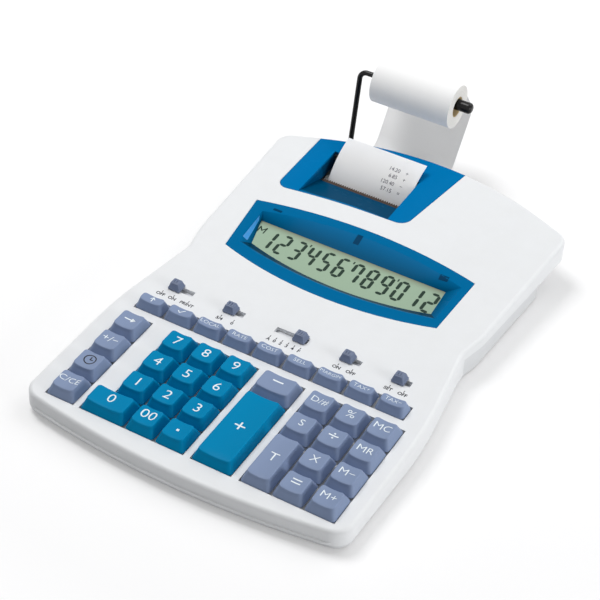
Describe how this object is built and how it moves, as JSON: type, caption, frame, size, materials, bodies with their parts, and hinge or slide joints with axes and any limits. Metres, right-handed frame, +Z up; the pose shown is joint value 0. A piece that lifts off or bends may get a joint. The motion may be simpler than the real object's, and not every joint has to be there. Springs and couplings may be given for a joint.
{
  "type": "printing desktop calculator",
  "caption": "Desktop printing calculator: waisted casing, sloping keyboard, framed display, slide switches, paper exit under a cover, and a paper roll on a wire arm.",
  "frame": {"origin": "middle of the bounding box in plan, on the desk that the feet stand on", "axes": "+X to the user's right, +Y away from the user towards the paper roll, +Z up"},
  "size_m": [0.2056, 0.3622, 0.077],
  "materials": {
    "casing_white": "fine moulded grain",
    "trim_blue": "satin",
    "key_blue": "satin",
    "key_slate": "satin",
    "knob_slate": "satin",
    "display_green": "glass front over a grey-green panel",
    "paper_white": "matt paper",
    "arm_black": "black lacquer",
    "board_green": "solder mask",
    "membrane_grey": "matt",
    "chassis_steel": "rolled",
    "roller_rubber": "ground",
    "drum_plastic": "moulded",
    "ink_felt": "felt",
    "jack_black": "moulded",
    "foot_rubber": "matt",
    "screw_steel": "plated"
  },
  "bodies": {
    "casing": {"bottom_case": "casing_white", "display_bezel": "trim_blue", "feet": "foot_rubber", "key_membrane": "membrane_grey", "lcd_panel": "display_green", "main_board": "board_green", "paper_tape": "paper_white", "power_jack": "jack_black", "printer_chassis": "chassis_steel", "roll_arm": "arm_black", "screws": "screw_steel", "top_case": "casing_white"},
    "key_0": {"key_0": "key_blue"},
    "key_00": {"key_00": "key_blue"},
    "key_1": {"key_1": "key_blue"},
    "key_2": {"key_2": "key_blue"},
    "key_3": {"key_3": "key_blue"},
    "key_4": {"key_4": "key_blue"},
    "key_5": {"key_5": "key_blue"},
    "key_6": {"key_6": "key_blue"},
    "key_7": {"key_7": "key_blue"},
    "key_8": {"key_8": "key_blue"},
    "key_9": {"key_9": "key_blue"},
    "key_arrow": {"key_arrow": "key_slate"},
    "key_check": {"key_check": "key_slate"},
    "key_clear": {"key_clear": "key_slate"},
    "key_clock": {"key_clock": "key_slate"},
    "key_cost": {"key_cost": "key_slate"},
    "key_divide": {"key_divide": "key_slate"},
    "key_equals": {"key_equals": "key_slate"},
    "key_local": {"key_local": "key_slate"},
    "key_margin": {"key_margin": "key_slate"},
    "key_memory_clear": {"key_memory_clear": "key_slate"},
    "key_memory_minus": {"key_memory_minus": "key_slate"},
    "key_memory_plus": {"key_memory_plus": "key_slate"},
    "key_memory_recall": {"key_memory_recall": "key_slate"},
    "key_minus": {"key_minus": "key_slate"},
    "key_multiply": {"key_multiply": "key_slate"},
    "key_number": {"key_number": "key_slate"},
    "key_percent": {"key_percent": "key_slate"},
    "key_plus": {"key_plus": "key_blue"},
    "key_point": {"key_point": "key_blue"},
    "key_rate": {"key_rate": "key_slate"},
    "key_sell": {"key_sell": "key_slate"},
    "key_shift": {"key_shift": "key_slate"},
    "key_sign": {"key_sign": "key_slate"},
    "key_subtotal": {"key_subtotal": "key_slate"},
    "key_tax_minus": {"key_tax_minus": "key_slate"},
    "key_tax_plus": {"key_tax_plus": "key_slate"},
    "key_total": {"key_total": "key_slate"},
    "print_switch_knob": {"print_switch_knob": "knob_slate"},
    "rounding_switch_knob": {"rounding_switch_knob": "knob_slate"},
    "decimal_switch_knob": {"decimal_switch_knob": "knob_slate"},
    "item_switch_knob": {"item_switch_knob": "knob_slate"},
    "rate_switch_knob": {"rate_switch_knob": "knob_slate"},
    "cover": {"printer_cover": "trim_blue"},
    "roll": {"paper_roll": "paper_white"},
    "feed": {"feed_roller": "roller_rubber"},
    "drum": {"type_drum": "drum_plastic"},
    "ink": {"ink_roller": "ink_felt"}
  },
  "joints": [
    {"name": "key_0_press", "type": "slide", "parent": "casing", "child": "key_0", "axis": [0, 0.0523, -0.9986], "range_m": [0, 0.0024], "stiffness_N_per_m": 220, "springref_m": -0.0006},
    {"name": "key_00_press", "type": "slide", "parent": "casing", "child": "key_00", "axis": [0, 0.0523, -0.9986], "range_m": [0, 0.0024], "stiffness_N_per_m": 220, "springref_m": -0.0006},
    {"name": "key_1_press", "type": "slide", "parent": "casing", "child": "key_1", "axis": [0, 0.0523, -0.9986], "range_m": [0, 0.0024], "stiffness_N_per_m": 220, "springref_m": -0.0006},
    {"name": "key_2_press", "type": "slide", "parent": "casing", "child": "key_2", "axis": [0, 0.0523, -0.9986], "range_m": [0, 0.0024], "stiffness_N_per_m": 220, "springref_m": -0.0006},
    {"name": "key_3_press", "type": "slide", "parent": "casing", "child": "key_3", "axis": [0, 0.0523, -0.9986], "range_m": [0, 0.0024], "stiffness_N_per_m": 220, "springref_m": -0.0006},
    {"name": "key_4_press", "type": "slide", "parent": "casing", "child": "key_4", "axis": [0, 0.0523, -0.9986], "range_m": [0, 0.0024], "stiffness_N_per_m": 220, "springref_m": -0.0006},
    {"name": "key_5_press", "type": "slide", "parent": "casing", "child": "key_5", "axis": [0, 0.0523, -0.9986], "range_m": [0, 0.0024], "stiffness_N_per_m": 220, "springref_m": -0.0006},
    {"name": "key_6_press", "type": "slide", "parent": "casing", "child": "key_6", "axis": [0, 0.0523, -0.9986], "range_m": [0, 0.0024], "stiffness_N_per_m": 220, "springref_m": -0.0006},
    {"name": "key_7_press", "type": "slide", "parent": "casing", "child": "key_7", "axis": [0, 0.0523, -0.9986], "range_m": [0, 0.0024], "stiffness_N_per_m": 220, "springref_m": -0.0006},
    {"name": "key_8_press", "type": "slide", "parent": "casing", "child": "key_8", "axis": [0, 0.0523, -0.9986], "range_m": [0, 0.0024], "stiffness_N_per_m": 220, "springref_m": -0.0006},
    {"name": "key_9_press", "type": "slide", "parent": "casing", "child": "key_9", "axis": [0, 0.0523, -0.9986], "range_m": [0, 0.0024], "stiffness_N_per_m": 220, "springref_m": -0.0006},
    {"name": "key_arrow_press", "type": "slide", "parent": "casing", "child": "key_arrow", "axis": [0, 0.0523, -0.9986], "range_m": [0, 0.0024], "stiffness_N_per_m": 220, "springref_m": -0.0006},
    {"name": "key_check_press", "type": "slide", "parent": "casing", "child": "key_check", "axis": [0, 0.0523, -0.9986], "range_m": [0, 0.0024], "stiffness_N_per_m": 220, "springref_m": -0.0006},
    {"name": "key_clear_press", "type": "slide", "parent": "casing", "child": "key_clear", "axis": [0, 0.0523, -0.9986], "range_m": [0, 0.0024], "stiffness_N_per_m": 220, "springref_m": -0.0006},
    {"name": "key_clock_press", "type": "slide", "parent": "casing", "child": "key_clock", "axis": [0, 0.0523, -0.9986], "range_m": [0, 0.0024], "stiffness_N_per_m": 220, "springref_m": -0.0006},
    {"name": "key_cost_press", "type": "slide", "parent": "casing", "child": "key_cost", "axis": [0, 0.0523, -0.9986], "range_m": [0, 0.0024], "stiffness_N_per_m": 220, "springref_m": -0.0006},
    {"name": "key_divide_press", "type": "slide", "parent": "casing", "child": "key_divide", "axis": [0, 0.0523, -0.9986], "range_m": [0, 0.0024], "stiffness_N_per_m": 220, "springref_m": -0.0006},
    {"name": "key_equals_press", "type": "slide", "parent": "casing", "child": "key_equals", "axis": [0, 0.0523, -0.9986], "range_m": [0, 0.0024], "stiffness_N_per_m": 220, "springref_m": -0.0006},
    {"name": "key_local_press", "type": "slide", "parent": "casing", "child": "key_local", "axis": [0, 0.0523, -0.9986], "range_m": [0, 0.0024], "stiffness_N_per_m": 220, "springref_m": -0.0006},
    {"name": "key_margin_press", "type": "slide", "parent": "casing", "child": "key_margin", "axis": [0, 0.0523, -0.9986], "range_m": [0, 0.0024], "stiffness_N_per_m": 220, "springref_m": -0.0006},
    {"name": "key_memory_clear_press", "type": "slide", "parent": "casing", "child": "key_memory_clear", "axis": [0, 0.0523, -0.9986], "range_m": [0, 0.0024], "stiffness_N_per_m": 220, "springref_m": -0.0006},
    {"name": "key_memory_minus_press", "type": "slide", "parent": "casing", "child": "key_memory_minus", "axis": [0, 0.0523, -0.9986], "range_m": [0, 0.0024], "stiffness_N_per_m": 220, "springref_m": -0.0006},
    {"name": "key_memory_plus_press", "type": "slide", "parent": "casing", "child": "key_memory_plus", "axis": [0, 0.0523, -0.9986], "range_m": [0, 0.0024], "stiffness_N_per_m": 220, "springref_m": -0.0006},
    {"name": "key_memory_recall_press", "type": "slide", "parent": "casing", "child": "key_memory_recall", "axis": [0, 0.0523, -0.9986], "range_m": [0, 0.0024], "stiffness_N_per_m": 220, "springref_m": -0.0006},
    {"name": "key_minus_press", "type": "slide", "parent": "casing", "child": "key_minus", "axis": [0, 0.0523, -0.9986], "range_m": [0, 0.0024], "stiffness_N_per_m": 220, "springref_m": -0.0006},
    {"name": "key_multiply_press", "type": "slide", "parent": "casing", "child": "key_multiply", "axis": [0, 0.0523, -0.9986], "range_m": [0, 0.0024], "stiffness_N_per_m": 220, "springref_m": -0.0006},
    {"name": "key_number_press", "type": "slide", "parent": "casing", "child": "key_number", "axis": [0, 0.0523, -0.9986], "range_m": [0, 0.0024], "stiffness_N_per_m": 220, "springref_m": -0.0006},
    {"name": "key_percent_press", "type": "slide", "parent": "casing", "child": "key_percent", "axis": [0, 0.0523, -0.9986], "range_m": [0, 0.0024], "stiffness_N_per_m": 220, "springref_m": -0.0006},
    {"name": "key_plus_press", "type": "slide", "parent": "casing", "child": "key_plus", "axis": [0, 0.0523, -0.9986], "range_m": [0, 0.0024], "stiffness_N_per_m": 220, "springref_m": -0.0006},
    {"name": "key_point_press", "type": "slide", "parent": "casing", "child": "key_point", "axis": [0, 0.0523, -0.9986], "range_m": [0, 0.0024], "stiffness_N_per_m": 220, "springref_m": -0.0006},
    {"name": "key_rate_press", "type": "slide", "parent": "casing", "child": "key_rate", "axis": [0, 0.0523, -0.9986], "range_m": [0, 0.0024], "stiffness_N_per_m": 220, "springref_m": -0.0006},
    {"name": "key_sell_press", "type": "slide", "parent": "casing", "child": "key_sell", "axis": [0, 0.0523, -0.9986], "range_m": [0, 0.0024], "stiffness_N_per_m": 220, "springref_m": -0.0006},
    {"name": "key_shift_press", "type": "slide", "parent": "casing", "child": "key_shift", "axis": [0, 0.0523, -0.9986], "range_m": [0, 0.0024], "stiffness_N_per_m": 220, "springref_m": -0.0006},
    {"name": "key_sign_press", "type": "slide", "parent": "casing", "child": "key_sign", "axis": [0, 0.0523, -0.9986], "range_m": [0, 0.0024], "stiffness_N_per_m": 220, "springref_m": -0.0006},
    {"name": "key_subtotal_press", "type": "slide", "parent": "casing", "child": "key_subtotal", "axis": [0, 0.0523, -0.9986], "range_m": [0, 0.0024], "stiffness_N_per_m": 220, "springref_m": -0.0006},
    {"name": "key_tax_minus_press", "type": "slide", "parent": "casing", "child": "key_tax_minus", "axis": [0, 0.0523, -0.9986], "range_m": [0, 0.0024], "stiffness_N_per_m": 220, "springref_m": -0.0006},
    {"name": "key_tax_plus_press", "type": "slide", "parent": "casing", "child": "key_tax_plus", "axis": [0, 0.0523, -0.9986], "range_m": [0, 0.0024], "stiffness_N_per_m": 220, "springref_m": -0.0006},
    {"name": "key_total_press", "type": "slide", "parent": "casing", "child": "key_total", "axis": [0, 0.0523, -0.9986], "range_m": [0, 0.0024], "stiffness_N_per_m": 220, "springref_m": -0.0006},
    {"name": "print_switch_slide", "type": "slide", "parent": "casing", "child": "print_switch_knob", "axis": [1, 0, 0], "range_m": [-0.0005, 0.0099]},
    {"name": "rounding_switch_slide", "type": "slide", "parent": "casing", "child": "rounding_switch_knob", "axis": [1, 0, 0], "range_m": [-0.0006, 0.007]},
    {"name": "decimal_switch_slide", "type": "slide", "parent": "casing", "child": "decimal_switch_knob", "axis": [1, 0, 0], "range_m": [-0.0146, 0.0027]},
    {"name": "item_switch_slide", "type": "slide", "parent": "casing", "child": "item_switch_knob", "axis": [1, 0, 0], "range_m": [-0.001, 0.0065]},
    {"name": "rate_switch_slide", "type": "slide", "parent": "casing", "child": "rate_switch_knob", "axis": [1, 0, 0], "range_m": [-0.0006, 0.0053]},
    {"name": "cover_unlatch", "type": "slide", "parent": "casing", "child": "cover", "axis": [0, 0.9977, 0.0682], "range_m": [0, 0.0025]},
    {"name": "roll_turn", "type": "hinge", "parent": "casing", "child": "roll", "pos_m": [0, 0.15626, 0.0625], "axis": [1, 0, 0], "continuous": true},
    {"name": "feed_turn", "type": "hinge", "parent": "casing", "child": "feed", "pos_m": [0, 0.09676, 0.0125], "axis": [1, 0, 0], "continuous": true},
    {"name": "drum_turn", "type": "hinge", "parent": "casing", "child": "drum", "pos_m": [0, 0.08276, 0.0125], "axis": [1, 0, 0], "continuous": true},
    {"name": "ink_turn", "type": "hinge", "parent": "casing", "child": "ink", "pos_m": [0, 0.07056, 0.0125], "axis": [1, 0, 0], "continuous": true}
  ],
  "couplings": [
    {"joint": "ink_turn", "follows": "drum_turn", "ratio": -1.1818}
  ]
}
